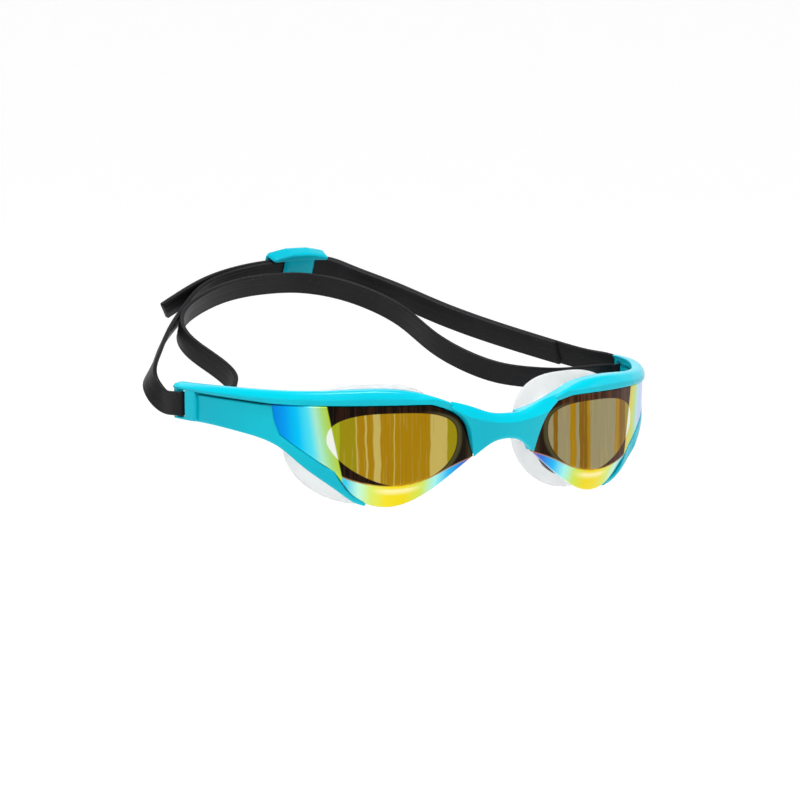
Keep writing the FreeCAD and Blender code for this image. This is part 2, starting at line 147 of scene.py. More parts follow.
def roundedLoop(halfA, halfB, radius, arcSteps=5, flatA=8, flatB=3):
    # a rectangle with round corners for every row: four quarter circles joined by even straight steps
    halfA = np.asarray(halfA, float)[:, None]
    halfB = np.broadcast_to(np.asarray(halfB, float), halfA[:, 0].shape)[:, None]
    radius = np.minimum(np.asarray(radius, float), np.minimum(halfA, halfB) * 0.98)
    loopA, loopB = [], []
    corners = [(1, 1, 0), (-1, 1, 90), (-1, -1, 180), (1, -1, 270)]
    for signA, signB, start in corners:
        turn = np.radians(start + np.linspace(0, 90, arcSteps))[None, :]
        loopA.append(signA * (halfA - radius) + radius * np.cos(turn))
        loopB.append(signB * (halfB - radius) + radius * np.sin(turn))
    outA, outB = [], []
    for index in range(4):
        steps = flatA if index % 2 == 0 else flatB
        share = np.linspace(0, 1, steps + 2)[None, 1:-1]
        following = (index + 1) % 4
        outA += [loopA[index], loopA[index][:, -1:] * (1 - share) + loopA[following][:, :1] * share]
        outB += [loopB[index], loopB[index][:, -1:] * (1 - share) + loopB[following][:, :1] * share]
    return np.concatenate(outA, 1), np.concatenate(outB, 1)


def tubeFaces(rows, columns, first=0):
    # quads between neighbouring rows, closed round the columns
    r, c = np.meshgrid(np.arange(rows - 1), np.arange(columns), indexing="ij")
    following = (c + 1) % columns
    quads = np.stack([r * columns + c, r * columns + following,
                      (r + 1) * columns + following, (r + 1) * columns + c], -1)
    return quads.reshape(-1, 4) + first


def tube(points):
    # a closed form from rows of loops, with a middle point at each end
    rows, columns, _ = points.shape
    flat = points.reshape(-1, 3)
    ends = np.stack([points[0].mean(0), points[-1].mean(0)])
    quads = tubeFaces(rows, columns).tolist()
    around = np.arange(columns)
    following = (around + 1) % columns
    first = np.stack([around * 0 + len(flat), following, around], -1)
    last = (rows - 1) * columns
    final = np.stack([around * 0 + len(flat) + 1, last + around, last + following], -1)
    return np.concatenate([flat, ends]), quads + first.tolist() + final.tolist()


def turnedRing(points):
    # a ring from loops that go round it, closed both ways
    rows, columns, _ = points.shape
    closed = np.concatenate([points, points[:1]])
    quads = tubeFaces(rows + 1, columns) % (rows * columns)
    return closed[:rows].reshape(-1, 3), quads.tolist()


def facesOutward(points, faces):
    # the enclosed volume's sign says which way the faces look
    corners = np.array([face[:3] for face in faces])
    a, b, c = points[corners[:, 0]], points[corners[:, 1]], points[corners[:, 2]]
    quads = [face for face in faces if len(face) == 4]
    volume = np.einsum("ij,ij->i", a, np.cross(b, c)).sum()
    if quads:
        more = np.array(quads)
        volume += np.einsum("ij,ij->i", points[more[:, 0]],
                            np.cross(points[more[:, 2]], points[more[:, 3]])).sum()
    return volume > 0


def makePiece(name, forms, material, body, nodes, side=1, fields=None):
    # joins closed forms into one mesh in metres; side -1 mirrors them to the wearer's right
    allPoints, allFaces, offset = [], [], 0
    for points, faces in forms:
        points = points * [side, 1, 1]
        if not facesOutward(points - points.mean(0), faces):
            faces = [face[::-1] for face in faces]
        allPoints.append(points)
        allFaces += [[corner + offset for corner in face] for face in faces]
        offset += len(points)
    mesh = bpy.data.meshes.new(name)
    mesh.from_pydata((np.concatenate(allPoints) * 0.001).tolist(), [], allFaces)
    mesh.update()
    mesh.polygons.foreach_set("use_smooth", np.ones(len(mesh.polygons), bool))
    for field, values in (fields or {}).items():
        layer = mesh.attributes.new(field, "FLOAT", "POINT")
        layer.data.foreach_set("value", np.asarray(values, np.float32).ravel())
    piece = bpy.data.objects.new(name, mesh)
    bpy.context.scene.collection.objects.link(piece)
    mesh.materials.append(material)
    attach(piece, body)
    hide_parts(*nodes)
    return piece


def ruledBar(top, foot, insetFront, insetBack, radius, place, endRound=(0, 0), **steps):
    # a bar between two edge lines: round-cornered loops stand across it, thinner towards rounded ends
    middle = (top + foot) / 2
    half = (top - foot) / 2
    length = np.maximum(np.linalg.norm(half, axis=1), 1e-4)
    unit = half / length[:, None]
    travel = np.concatenate([[0], np.cumsum(np.linalg.norm(np.diff(middle, axis=0), axis=1))])
    shrink = np.zeros(len(top))
    for reach, away in ((endRound[0], travel), (endRound[1], travel[-1] - travel)):
        if reach > 0:
            into = np.clip(reach - away, 0, reach)
            shrink += reach - np.sqrt(reach ** 2 - into ** 2)
    front = np.broadcast_to(np.asarray(insetFront, float), length.shape)
    back = np.broadcast_to(np.asarray(insetBack, float), length.shape)
    halfDepth = np.maximum((back - front) / 2 - shrink, 0.02)
    a, b = roundedLoop(np.maximum(length - shrink, 0.02), halfDepth, radius, **steps)
    along = middle[:, :1] + unit[:, :1] * a
    z = middle[:, 1:] + unit[:, 1:] * a
    return tube(place(along, (front + back)[:, None] / 2 + b, z))


# ---- materials

def newMaterial(name, **values):
    material = bpy.data.materials.new(name)
    material.use_nodes = True
    shader = material.node_tree.nodes["Principled BSDF"]
    for key, value in values.items():
        shader.inputs[key].default_value = value
    return material, material.node_tree, shader


def addNode(tree, kind, **settings):
    node = tree.nodes.new(kind)
    for key, value in settings.items():
        if key.startswith("in_"):
            node.inputs[key[3:].replace("_", " ")].default_value = value
        else:
            setattr(node, key, value)
    return node


def grey(value):
    return (value, value, value)


def addRamp(tree, factor, stops):
    node = tree.nodes.new("ShaderNodeValToRGB")
    ramp = node.color_ramp
    while len(ramp.elements) < len(stops):
        ramp.elements.new(0.5)
    for element, (place, colour) in zip(ramp.elements, stops):
        element.position = place
        element.color = (*colour, 1)
    tree.links.new(factor, node.inputs["Fac"])
    return node.outputs["Color"]


def addMix(tree, factor, first, second, blend="MIX"):
    node = tree.nodes.new("ShaderNodeMix")
    node.data_type = "RGBA"
    node.blend_type = blend
    for value, index in ((factor, 0), (first, 6), (second, 7)):
        if isinstance(value, (int, float)):
            node.inputs[index].default_value = value
        elif isinstance(value, tuple):
            node.inputs[index].default_value = (*value, 1)
        else:
            tree.links.new(value, node.inputs[index])
    return node.outputs[2]


def addNoise(tree, vector, scale, detail=3.0, stretch=None):
    if stretch:
        mapping = addNode(tree, "ShaderNodeMapping")
        mapping.inputs["Scale"].default_value = stretch
        tree.links.new(vector, mapping.inputs["Vector"])
        vector = mapping.outputs["Vector"]
    noise = addNode(tree, "ShaderNodeTexNoise", in_Scale=scale, in_Detail=detail)
    tree.links.new(vector, noise.inputs["Vector"])
    return noise.outputs["Fac"]


def addBump(tree, shader, height, strength, distance):
    bump = addNode(tree, "ShaderNodeBump", in_Strength=strength, in_Distance=distance)
    tree.links.new(height, bump.inputs["Height"])
    tree.links.new(bump.outputs["Normal"], shader.inputs["Normal"])
    return bump


def attribute(tree, name):
    return addNode(tree, "ShaderNodeAttribute", attribute_name=name).outputs["Fac"]


def objectPlace(tree):
    return addNode(tree, "ShaderNodeTexCoord").outputs["Object"]


def mouldedTurquoise(name, light, deep, paintSeamShade=False):
    # glossy moulded plastic: slow colour change, faint flow marks and a fine ripple; the frame's copy also
    # takes painted shade along the seam under the brow
    material, tree, shader = newMaterial(name, Roughness=0.24)
    shader.inputs["Specular IOR Level"].default_value = 0.13
    shader.inputs["Coat Weight"].default_value = 0.04
    shader.inputs["Coat Roughness"].default_value = 0.12
    place = objectPlace(tree)
    slow = addNoise(tree, place, 38.0, 2.0)
    colour = addRamp(tree, slow, [(0.35, deep), (0.65, light)])
    if paintSeamShade:
        # painted shade: the seam attribute darkens the colour towards deep teal under the brow
        colour = addMix(tree, attribute(tree, "seam"), colour, (0.0, 0.03, 0.05))
    tree.links.new(colour, shader.inputs["Base Color"])
    fine = addNoise(tree, place, 900.0, 4.0)
    rough = addRamp(tree, fine, [(0.3, grey(0.22)), (0.7, grey(0.27))])
    tree.links.new(rough, shader.inputs["Roughness"])
    addBump(tree, shader, fine, 0.015, 0.0001)
    return material


filmColours = {
    "gold": (0.36, 0.195, 0.002),
    "cream": (0.52, 0.40, 0.10),
    "olive": (0.30, 0.24, 0.004),
    "leafGreen": (0.34, 0.40, 0.008),
    "bronze": (0.22, 0.105, 0.004),
    "beige": (0.30, 0.255, 0.13),
    "lower": [(0.02, (0.16, 0.06, 0.40)), (0.10, (0.03, 0.14, 0.55)), (0.20, (0.02, 0.40, 0.72)),
              (0.29, (0.30, 0.72, 0.66)), (0.38, (0.50, 0.62, 0.08)), (0.50, (0.70, 0.56, 0.01)),
              (0.62, (0.72, 0.60, 0.02)), (0.72, (0.55, 0.66, 0.12)), (0.80, (0.42, 0.74, 0.56)),
              (0.88, (0.03, 0.48, 0.66))],
    "sideRight": [(0.0, (0.42, 0.56, 0.03)), (0.12, (0.36, 0.64, 0.18)), (0.24, (0.36, 0.74, 0.55)),
                  (0.36, (0.08, 0.68, 0.80)), (0.55, (0.0, 0.52, 0.84)), (0.80, (0.0, 0.30, 0.80)),
                  (1.0, (0.0, 0.22, 0.72))],
    "sideLeft": [(0.0, (0.66, 0.50, 0.02)), (0.16, (0.58, 0.60, 0.05)), (0.30, (0.40, 0.64, 0.22)),
                 (0.42, (0.34, 0.70, 0.66)), (0.54, (0.42, 0.50, 0.86)), (0.66, (0.36, 0.44, 0.84)),
                 (0.80, (0.06, 0.44, 0.70)), (1.0, (0.0, 0.36, 0.62))],
}


def mirrorFilm(name, bands, sideBands, borderDark, borderWarm):
    # an interference film: bands of gold in front, then green, cyan and blue where the lens turns away
    material, tree, shader = newMaterial(name, Metallic=1.0, Roughness=0.12)
    shader.inputs["Coat Weight"].default_value = 0.08
    shader.inputs["Coat Roughness"].default_value = 0.03
    across = attribute(tree, "across")
    height = attribute(tree, "height")
    place = addNode(tree, "ShaderNodeCombineXYZ")
    tree.links.new(across, place.inputs["X"])
    tree.links.new(height, place.inputs["Y"])
    vector = place.outputs["Vector"]
    # the bands' edges wander a little with height
    wander = addNode(tree, "ShaderNodeMath", operation="MULTIPLY_ADD")
    tree.links.new(addNoise(tree, vector, 3.0, 1.0, (1.0, 1.2, 1.0)), wander.inputs[0])
    wander.inputs[1].default_value = 0.03
    tree.links.new(across, wander.inputs[2])
    front = addRamp(tree, wander.outputs[0], bands)
    fine = addNoise(tree, vector, 30.0, 2.0, (3.0, 0.05, 1.0))
    # fine upright streaks, lighter and darker than the bands
    streak = addRamp(tree, fine, [(0.60, grey(0)), (0.66, grey(0.38)), (0.72, grey(0))])
    front = addMix(tree, streak, front, filmColours["cream"])
    streak = addRamp(tree, fine, [(0.28, grey(0.35)), (0.36, grey(0))])
    front = addMix(tree, streak, front, filmColours["bronze"])
    border = addRamp(tree, fine, [(0.40, borderDark), (0.60, borderWarm)])
    noseShade = addRamp(tree, across, [(0.02, (0.07, 0.06, 0.025)), (0.08, (0.012, 0.008, 0.005)),
                                       (0.20, (0.004, 0.003, 0.002))])
    byNose = addRamp(tree, across, [(0.18, grey(0.8)), (0.30, grey(0))])
    border = addMix(tree, byNose, border, noseShade)
    reach = attribute(tree, "reach")
    ring = addRamp(tree, reach, [(0.50, grey(0)), (0.515, grey(0.7)), (0.535, grey(0.5)),
                                 (0.55, grey(0))])
    nearNose = addRamp(tree, across, [(0.22, grey(1)), (0.40, grey(0))])
    border = addMix(tree, addMix(tree, 1.0, ring, nearNose, "MULTIPLY"), border, (0.10, 0.09, 0.035))
    inside = addRamp(tree, reach, [(0.496, grey(1)), (0.504, grey(0))])
    front = addMix(tree, inside, border, front)
    aside = addRamp(tree, attribute(tree, "beside"), filmColours[sideBands])
    aside = addMix(tree, inside, aside, (0.78, 0.80, 0.74))
    lower = addRamp(tree, across, filmColours["lower"])
    below = attribute(tree, "below")
    edge = addRamp(tree, below, [(0.0, grey(0.9)), (0.06, grey(0))])
    lower = addMix(tree, edge, lower, (0.55, 0.22, 0.01))
    # painted highlight: a pale cream band across the middle of the lower facet, a little below its upper
    # edge
    paintedHighlight = addRamp(tree, below, [(0.10, grey(0)), (0.22, grey(0.7)), (0.42, grey(0))])
    middle = addRamp(tree, across, [(0.36, grey(0)), (0.48, grey(1)), (0.62, grey(1)), (0.72, grey(0))])
    lower = addMix(tree, addMix(tree, 1.0, paintedHighlight, middle, "MULTIPLY"), lower, (0.86, 0.80, 0.46))
    colour = addMix(tree, attribute(tree, "lower"), front, lower)
    colour = addMix(tree, attribute(tree, "aside"), colour, aside)
    colour = addMix(tree, attribute(tree, "rim"), colour, (0.004, 0.02, 0.07))
    tree.links.new(colour, shader.inputs["Base Color"])
    haze = addNoise(tree, objectPlace(tree), 260.0, 3.0)
    tree.links.new(addRamp(tree, haze, [(0.3, grey(0.08)), (0.7, grey(0.16))]),
                   shader.inputs["Roughness"])
    return material


def bandStops(*pairs):
    # each pair is (place, colour name); a band runs from its place to just before the next one
    stops = []
    for index, (place, colour) in enumerate(pairs):
        stops.append((place, filmColours[colour]))
        if index + 1 < len(pairs):
            stops.append((pairs[index + 1][0] - 0.006, filmColours[colour]))
    return stops


def clearSilicone():
    # soft milky silicone that lets light through
    material, tree, shader = newMaterial("clearSilicone", Roughness=0.36, IOR=1.41)
    shader.inputs["Transmission Weight"].default_value = 0.70
    shader.inputs["Specular IOR Level"].default_value = 0.4
    place = objectPlace(tree)
    cloud = addNoise(tree, place, 70.0, 3.0)
    tree.links.new(addRamp(tree, cloud, [(0.3, (0.84, 0.865, 0.87)), (0.7, (0.90, 0.92, 0.925))]),
                   shader.inputs["Base Color"])
    addBump(tree, shader, addNoise(tree, place, 600.0, 2.0), 0.08, 0.0002)
    return material


def blackSilicone():
    # matt black band with a slight grey bloom, fine lengthwise lines and specks of dust
    material, tree, shader = newMaterial("blackSilicone", Roughness=0.5)
    shader.inputs["Specular IOR Level"].default_value = 0.15
    place = objectPlace(tree)
    bloom = addNoise(tree, place, 55.0, 4.0)
    base = addRamp(tree, bloom, [(0.3, (0.004, 0.004, 0.005)), (0.7, (0.012, 0.012, 0.013))])
    specks = addNoise(tree, place, 2600.0, 1.0)
    dust = addRamp(tree, specks, [(0.72, grey(0)), (0.80, grey(0.05))])
    tree.links.new(addMix(tree, 1.0, base, dust, "ADD"), shader.inputs["Base Color"])
    lines = addNode(tree, "ShaderNodeMath", operation="SINE")
    scaled = addNode(tree, "ShaderNodeMath", operation="MULTIPLY")
    scaled.inputs[1].default_value = 44.0
    tree.links.new(attribute(tree, "breadth"), scaled.inputs[0])
    tree.links.new(scaled.outputs[0], lines.inputs[0])
    both = addNode(tree, "ShaderNodeMath", operation="ADD")
    tree.links.new(lines.outputs[0], both.inputs[0])
    tree.links.new(addNoise(tree, place, 1500.0, 3.0), both.inputs[1])
    addBump(tree, shader, both.outputs[0], 0.05, 0.0001)
    tree.links.new(addRamp(tree, bloom, [(0.3, grey(0.40)), (0.7, grey(0.56))]),
                   shader.inputs["Roughness"])
    return material


def darkCup():
    # satin brown-black plastic behind the lens
    material, tree, shader = newMaterial("darkCup", Roughness=0.4)
    place = objectPlace(tree)
    grain = addNoise(tree, place, 500.0, 3.0)
    tree.links.new(addRamp(tree, grain, [(0.3, (0.018, 0.010, 0.006)), (0.7, (0.035, 0.022, 0.014))]),
                   shader.inputs["Base Color"])
    addBump(tree, shader, grain, 0.12, 0.0002)
    return material


turquoise = mouldedTurquoise("glossTurquoise", (0.0, 0.47, 0.58), (0.0, 0.42, 0.54))
seamShadedTurquoise = mouldedTurquoise("seamShadedTurquoise", (0.0, 0.47, 0.58), (0.0, 0.42, 0.54), True)
buckleTurquoise = mouldedTurquoise("buckleTurquoise", (0.0, 0.38, 0.48), (0.0, 0.34, 0.44))
rightFilm = mirrorFilm("mirrorFilmRight", bandStops(
    (0.0, "olive"), (0.225, "cream"), (0.345, "gold"), (0.583, "cream"), (0.590, "gold"),
    (0.675, "cream"), (0.720, "gold"), (0.760, "cream"), (0.772, "gold"), (0.822, "cream"),
    (0.830, "olive"), (0.935, "leafGreen")),
    "sideRight", (0.003, 0.002, 0.001), (0.026, 0.009, 0.004))
leftFilm = mirrorFilm("mirrorFilmLeft", bandStops(
    (0.0, "beige"), (0.20, "bronze"), (0.235, "beige"), (0.34, "gold"), (0.395, "beige"),
    (0.425, "bronze"),
    (0.50, "gold"), (0.53, "beige"), (0.80, "gold"), (0.85, "bronze"), (0.93, "olive")),
    "sideLeft", (0.018, 0.006, 0.002), (0.095, 0.032, 0.010))
sealSilicone = clearSilicone()
strapSilicone = blackSilicone()
cupPlastic = darkCup()
print("materials made")


# ---- lenses

lensShape = {
    "wall": 1.8,
    "radius": 0.45,
    "noseTop": [(0.02, 0.53), (0.054, 0.356), (0.085, 0.205), (0.198, 0.069), (0.335, 0.0)],
    "foot": [(0.02, 0.53), (0.131, 0.656), (0.252, 0.787), (0.365, 0.89), (0.475, 0.965), (0.60, 1.0),
             (0.72, 0.975), (0.835, 0.905)],
    "branch": [(0.955, 0.64), (1.476, 0.444), (1.93, 0.29)],
    "outer": [(1.93, 0.29), (2.02, 0.13), (2.03, 0.0)],
    "bevel": [(-0.15, 0.46), (0.02, 0.53), (0.16, 0.60), (0.34, 0.715), (0.50, 0.77), (0.65, 0.772),
              (0.80, 0.735), (0.955, 0.64), (1.2, 0.50)],
    "bevelRound": 0.02,
    "facetFinish": 47.5,
    "facetFade": 2.0,
    "eyeCentre": (27.0, 3.0),
    "eyeWide": (21.2, 20.3),     # half widths outwards and towards the nose
    "eyeTall": (8.5, 13.9),      # half heights above and below
    "eyePower": (2.6, 3.0, 1.5, 2.0),    # outer and nose above, outer and nose below
    "colourStep": 0.25,          # a facet's colour changes over this width
    "rimWidth": 0.30,
    "columns": 300,
    "rows": 76,
}


def graph(points, at):
    # height of a line over the places along the plan
    line = spline(points, 400)
    return np.interp(at, line[:, 0], line[:, 1])


bevelLine = stations(lensShape["bevel"])


def facetLean(along, z):
    # below the bevel's upper edge the surface leans back, with a slightly rounded start
    under = (graph(bevelLine, along) - z) / goggles["bevelSlope"]
    return 0.5 * (under + np.sqrt(under ** 2 + lensShape["bevelRound"]))


def bevelDepth(along, z):
    # the lower facet dies out just past the crease
    over = np.clip((along - lensShape["facetFinish"]) / lensShape["facetFade"], 0, 1)
    return facetLean(along, z) * (1 - over)


def lensPlace(along, inset, z):
    return onPlan(along, inset + bevelDepth(along, z), z)


def buildLens(name, side):
    # upright strips between the lens' top and foot lines, each a thin rounded loop
    shape = lensShape
    top = np.concatenate([spline(stations(shape["noseTop"]), 80),
                          polyline(stations([(0.335, 0.0), (2.03, 0.0)]), 60)])
    foot = np.concatenate([spline(stations(shape["foot"]), 120),
                           polyline(stations([shape["foot"][-1], shape["branch"][0]]), 20),
                           spline(stations(shape["branch"]), 60),
                           spline(stations(shape["outer"]), 30)])
    first, last = top[0, 0] + 0.02, top[-1, 0] - 0.02
    ease = np.linspace(0, 1, shape["columns"])
    at = first + (last - first) * (ease - 0.10 * np.sin(2 * math.pi * ease) / (2 * math.pi))
    upper = np.interp(at, top[:, 0], top[:, 1])
    order = np.maximum.accumulate(foot[:, 0])
    under = np.interp(at, order, foot[:, 1])
    topLine = np.stack([at, upper], -1)
    footLine = np.stack([at, np.minimum(under, upper - 0.05)], -1)      # never quite closed
    seen = {}

    def place(along, inset, z):
        seen["along"], seen["inset"], seen["z"] = along, inset, z
        return lensPlace(along, inset, z)

    form = ruledBar(topLine, footLine, 0, shape["wall"], shape["radius"], place,
                    flatA=shape["rows"], flatB=1, arcSteps=4)
    along, z = seen["along"], seen["z"]
    crease = creasePlace(z)
    beside = (along - crease) / (goggles["sideEnd"] + 1 - crease)
    below = graph(bevelLine, along) - z
    # the eye opening is a superellipse whose width, height and power differ in its four quarters
    across, rise = along - shape["eyeCentre"][0], z - shape["eyeCentre"][1]
    powers = shape["eyePower"]
    power = np.where(rise > 0, np.where(across > 0, powers[0], powers[1]),
                     np.where(across > 0, powers[2], powers[3]))
    wide = np.where(across > 0, *shape["eyeWide"])
    tall = np.where(rise > 0, *shape["eyeTall"])
    reach = (np.abs(across / wide) ** power + np.abs(rise / tall) ** power) ** (1 / power)
    gap = np.minimum(np.abs(np.interp(along, at, upper) - z), np.abs(z - np.interp(along, at, under)))
    fields = {
        "across": along / goggles["crease"],
        "height": (z - goggles["browLine"]) / goggles["lensHeight"] + 1,
        "beside": np.clip(beside, 0, 1),
        "aside": np.clip((along - crease) / shape["colourStep"] + 0.5, 0, 1),
        "lower": np.clip(below / shape["colourStep"] + 0.5, 0, 1) * (along < crease + 1.5),
        "reach": np.where(seen["inset"] < shape["wall"] / 2, reach / 2, 0.9),
        "below": np.clip(below / 8.0, 0, 1),
        "rim": np.clip(1 - gap / shape["rimWidth"], 0, 1) * (along > 40) * (z < 13.2),
    }
    # the loops' two end points come last and stay at nought
    fields = {key: np.append(value.ravel(), [0, 0]) for key, value in fields.items()}
    film = leftFilm if side > 0 else rightFilm
    return makePiece(name + "_lens", [form], film, "front", [name + "_lens"], side, fields)


# ---- frames

frameShape = {
    "proudPlaces": [4, 12, 40, 60, 92, 107],
    "proudInsets": [0.2, -1.4, -1.2, -0.6, -0.8, -0.4],
    "panelPlaces": [40, 62, 70, 92],
    "panelInsets": [-0.15, -0.15, 0.25, 0.7],
    "seam": 0.45,                # gap between the brow and the arm's panel
    "seamFrom": 66.0,            # the gap opens here, over seamFade
    "seamFade": 4.0,
    "browLean": 3.0,
    "browRidge": 0.42,           # share of the brow's height from which it leans
    "tipLift": 0.9,              # the branch's tip laps over the lens
    "tipLeanPlace": 37.0,
    "tipLeanReach": 16.0,
    "count": 260,                # loops along the brow
    "panelCount": 240,
    "slotRoom": 4.2,             # half the slot's height
    "slotAhead": 2.0,
    "slotBehind": 2.1,
    "postPlace": 95.2,
    "barPlace": 97.7,
    "postFoot": 0.238,
    "tipEnds": (-0.128, 0.231),  # top and foot of the arm's end
    "seamShadeSpan": (62.0, 97.0),    # painted shade darkens the seam between these places
    "depth": 4.4,
    "armWall": 2.6,
    "browTop": [(-0.09, 0.12), (0.04, 0.078), (0.23, -0.034), (0.5, -0.135), (0.8, -0.148), (1.3, -0.134),
                (2.0, -0.130), (2.5, -0.132), (3.0, -0.128)],
    "noseEdge": [(0.02, 0.50), (-0.03, 0.42), (-0.085, 0.34), (-0.09, 0.12)],
    "lensTop": [(0.335, 0.0), (2.03, 0.0)],
    "armTop": [(2.03, 0.0), (2.4, -0.03), (2.86, -0.055), (3.0, -0.06)],
    "branchTip": [(0.755, 0.965), (0.84, 0.897), (0.955, 0.645)],
    "panelFoot": [(0.745, 0.99), (0.83, 0.945), (0.894, 0.878), (1.256, 0.675), (1.554, 0.562),
                  (1.917, 0.425), (2.14, 0.34), (2.32, 0.297), (2.6, 0.252), (2.86, 0.238)],
}


def buildFrame(name, side):
    shape = frameShape
    # brow: from the nose foot, over the lens and back along the arm
    top = chain([stations(shape["noseEdge"]), stations(shape["browTop"])], shape["count"])
    foot = chain([stations(lensShape["noseTop"]), stations(shape["lensTop"]), stations(shape["armTop"])],
                 shape["count"])
    middle = (top[:, 0] + foot[:, 0]) / 2
    back = np.interp(middle, [44, 52], [shape["depth"], shape["armWall"]])
    # the brow's nose end goes under the bridge, so it is drawn in there
    front = np.interp(middle, shape["proudPlaces"], shape["proudInsets"])
    nose = 80                    # loops that turn round the nose end

    def browPlace(along, inset, z):
        # above its middle the brow leans back, more with every step up
        upper = np.interp(along, top[nose:, 0], top[nose:, 1])
        under = np.interp(along, foot[nose:, 0], foot[nose:, 1])
        share = (z - under) / np.maximum(upper - under, 1.0)
        ease = np.clip((along - 8) / 6, 0, 1)
        lean = np.clip(share - shape["browRidge"], 0, 1) ** 1.2
        return onPlan(along, inset + shape["browLean"] * ease * lean, z)

    brow = ruledBar(top, foot, front, back, 1.2, browPlace, endRound=(0.3, 0.9), flatA=14, flatB=6,
                    arcSteps=8)

    # panel and branch: between the lens' outer border and the arm's foot line
    panelTop = chain([stations(shape["branchTip"]), stations(lensShape["branch"]),
                      stations(lensShape["outer"]), stations(shape["armTop"][:3])], shape["panelCount"])
    browEdge = np.copy(panelTop)
    place = panelTop[:, 0]
    opening = np.clip((place - shape["seamFrom"]) / shape["seamFade"], 0, 1)
    lap = 0.1
    panelTop[:, 1] += lap - (shape["seam"] + lap) * opening
    panelTop[:, 1] += shape["tipLift"] * np.clip((goggles["crease"] - place) / 4, 0, 1)
    panelFoot = chain([stations(shape["panelFoot"])], shape["panelCount"])
    travel = np.linspace(0, 1, shape["panelCount"])
    # the two lines keep step at the branch, the lens corner and the post
    panelFoot = np.stack([np.interp(travel ** 0.9, travel, panelFoot[:, i]) for i in (0, 1)], -1)
    middle = (panelTop[:, 0] + panelFoot[:, 0]) / 2
    panelFront = np.interp(middle, shape["panelPlaces"], shape["panelInsets"])

    def panelPlace(along, inset, z):
        # towards its tip the branch leans back with the lens' lower facet
        weight = 1 - np.clip((along - shape["tipLeanPlace"]) / shape["tipLeanReach"], 0, 1)
        return onPlan(along, inset + facetLean(along, z) * weight, z)

    panel = ruledBar(panelTop, panelFoot, panelFront, shape["armWall"], 0.7, panelPlace,
                     endRound=(0.5, 0), flatA=16, flatB=3, arcSteps=6)
    # a thin strip closes the seam under the brow from behind
    covered = browEdge[browEdge[:, 0] > shape["seamFrom"]]
    strip = ruledBar(covered + [0, 0.8], covered - [0, 1.4], 1.7, shape["armWall"] - 0.1, 0.2, onPlan)

    # behind the post: lower bar, end bar and upper bar round the strap's slot
    slotTop = goggles["slotHeight"] + shape["slotRoom"]
    slotFoot = goggles["slotHeight"] - shape["slotRoom"]
    slotFront = goggles["slotPlace"] - shape["slotAhead"]
    slotBack = goggles["slotPlace"] + shape["slotBehind"]
    postFoot = station(2.86, shape["postFoot"])[1]
    tipTop, tipFoot = [station(3.0, drop)[1] for drop in shape["tipEnds"]]
    tip = goggles["templeEnd"]

    def bar(begin, end, tops, feet, front, radius, rounds, count):
        return ruledBar(polyline([(begin, tops[0]), (end, tops[1])], count),
                        polyline([(begin, feet[0]), (end, feet[1])], count),
                        front, shape["armWall"], radius, onPlan, endRound=rounds)

    lowerBar = bar(shape["barPlace"], tip, [slotFoot] * 2, (postFoot, tipFoot), 0, 0.35, (0, 0.7), 24)
    post = bar(shape["postPlace"], slotFront, [slotTop + 0.8] * 2, [postFoot + 0.1] * 2, -0.6, 0.6,
               (0.6, 0.5), 12)
    endBar = bar(slotBack, tip, [tipTop - 0.3] * 2, [tipFoot + 0.05] * 2, 0, 0.7, (0.5, 0.9), 14)
    forms = [brow, panel, strip, lowerBar, post, endBar]
    # painted shade, standing for the brow's shadow, is darkest on the line between brow and panel, and
    # fades along a bell curve
    paintedSeamShade = []
    for points, _ in forms:
        along = np.interp(points[:, 0], planX, planAlong)
        line = np.interp(along, covered[:, 0], covered[:, 1])
        near = np.exp(-((points[:, 2] - line + 0.2) / 0.4) ** 2)
        begin, end = shape["seamShadeSpan"]
        paintedSeamShade.append(0.85 * near * (along > begin) * (along < end))
    return makePiece(name + "_frame", forms, seamShadedTurquoise, "front", [name + "_frame"],
                     side, {"seam": np.concatenate(paintedSeamShade)})


# ---- nose bridge

bridgeShape = {
    "front": 30.3,
    "rear": 25.75,
    "top": [(0, 10.1), (3, 10.2), (6.0, 10.7), (12.8, 13.0), (19.2, 14.7)],
    "footMiddle": [(0, 2.2), (4.0, 1.6), (7.4, -0.3), (10.9, -3.1)],
    "footSide": [(10.9, -3.1), (12.2, 2.6), (13.9, 7.4), (16.2, 10.3), (19.2, 12.4)],
    "endWall": 1.25,             # thickness left where the front arc ends
    "arcReach": 20.2,
    "ridge": 7.4,                # height of the ridge in the middle
    "ridgeRise": 0.012,
    "fallAbove": 0.60,
    "fallBelow": 0.30,
    "depth": 4.0,
    "radius": 1.3,
}


def bridgePlace(x, inset, z):
    # the front is an arc in plan, fullest along a ridge below the top edge; its foot falls away
    shape = bridgeShape
    arch = shape["front"] - shape["rear"] - shape["endWall"]
    thick = arch * (1 - (x / shape["arcReach"]) ** 2) + shape["endWall"]
    ridge = shape["ridge"] + shape["ridgeRise"] * x ** 2
    away = np.where(z > ridge, (z - ridge) * shape["fallAbove"], (ridge - z) * shape["fallBelow"])
    y = -(shape["rear"] + (thick - away) * np.clip(-inset / shape["depth"], 0, 1))
    return np.stack([x, y, z + 0 * x], -1)


def buildBridge():
    # one bar from wing to wing; the half is mirrored, and its loops run top to foot
    half = 90
    top = chain([bridgeShape["top"]], half)
    foot = chain([bridgeShape["footMiddle"], bridgeShape["footSide"]], half)
    top = np.concatenate([(top * [-1, 1])[:0:-1], top])
    foot = np.concatenate([(foot * [-1, 1])[:0:-1], foot])

    form = ruledBar(top, foot, -bridgeShape["depth"], 0, bridgeShape["radius"], bridgePlace,
                    endRound=(0.6, 0.6), flatA=24, flatB=6, arcSteps=8)
    return makePiece("nose_bridge", [form], turquoise, "front", ["nose_bridge"])


# ---- eyecups and seals

roundTurn = np.linspace(0, 2 * math.pi, 180, endpoint=False)

